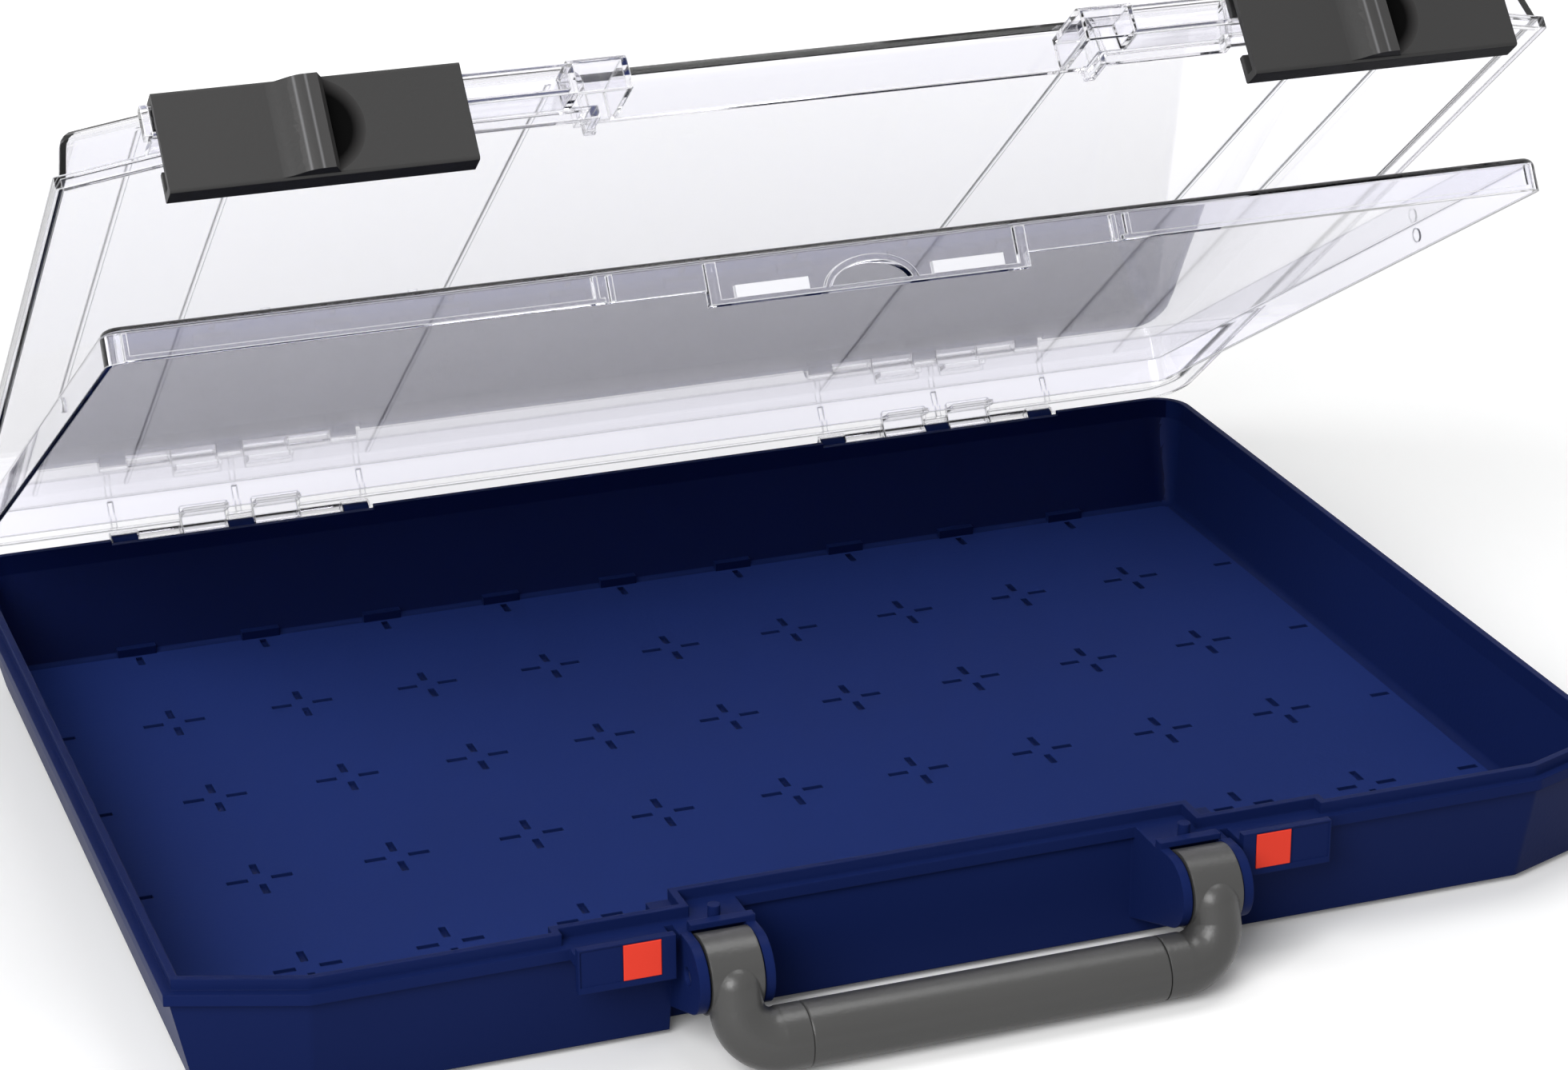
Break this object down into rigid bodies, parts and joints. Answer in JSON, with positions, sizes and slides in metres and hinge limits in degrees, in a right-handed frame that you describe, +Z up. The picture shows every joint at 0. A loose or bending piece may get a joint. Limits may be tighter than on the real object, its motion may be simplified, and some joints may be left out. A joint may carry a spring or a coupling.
{
  "type": "saw blade storage case",
  "caption": "Flat rectangular carry case: blue divided tray, two clear lids on one rear hinge line, sliding front latches and a folding front handle",
  "frame": {"origin": "under the middle of the tray, in the plane that the case rests on", "axes": "+X to the right along the front of the case, +Y from the handle to the hinge, +Z up out of the tray"},
  "size_m": [0.413, 0.3385, 0.2477],
  "materials": {
    "blue_plastic": "moulded polypropylene, fine matt grain",
    "clear_plastic": "clear moulded plastic, glossy",
    "latch_plastic": "moulded plastic, matt",
    "grey_plastic": "moulded plastic, matt",
    "grip_plastic": "moulded plastic, matt",
    "red_plastic": "moulded plastic, semi-gloss",
    "pin_steel": "drawn steel wire"
  },
  "bodies": {
    "base": {"base_tray": "blue_plastic", "lock_indicator_left": "red_plastic", "lock_indicator_right": "red_plastic", "hinge_pin_left": "pin_steel", "hinge_pin_right": "pin_steel", "handle_pin_left": "pin_steel", "handle_pin_right": "pin_steel"},
    "outer_lid_body": {"outer_lid": "clear_plastic"},
    "latch_left_body": {"latch_left": "latch_plastic"},
    "latch_right_body": {"latch_right": "latch_plastic"},
    "inner_lid_body": {"inner_lid": "clear_plastic"},
    "handle_body": {"handle_core": "grey_plastic", "handle_grip": "grip_plastic"}
  },
  "joints": [
    {"name": "outer_lid_hinge", "type": "hinge", "parent": "base", "child": "outer_lid_body", "pos_m": [0, 0.153, 0.0335], "axis": [-1, 0, 0], "range_deg": [-39.8, 70]},
    {"name": "inner_lid_hinge", "type": "hinge", "parent": "base", "child": "inner_lid_body", "pos_m": [0, 0.153, 0.0335], "axis": [-1, 0, 0], "range_deg": [-30.3, 53.3]},
    {"name": "latch_left_slide", "type": "slide", "parent": "outer_lid_body", "child": "latch_left_body", "axis": [1, 0, 0], "range_m": [0, 0.027]},
    {"name": "latch_right_slide", "type": "slide", "parent": "outer_lid_body", "child": "latch_right_body", "axis": [-1, 0, 0], "range_m": [0, 0.027]},
    {"name": "handle_hinge", "type": "hinge", "parent": "base", "child": "handle_body", "pos_m": [0, -0.1605, 0.0253], "axis": [-1, 0, 0], "range_deg": [0, 88]}
  ],
  "couplings": [
    {"joint": "inner_lid_hinge", "follows": "outer_lid_hinge", "ratio": 0.7613}
  ]
}
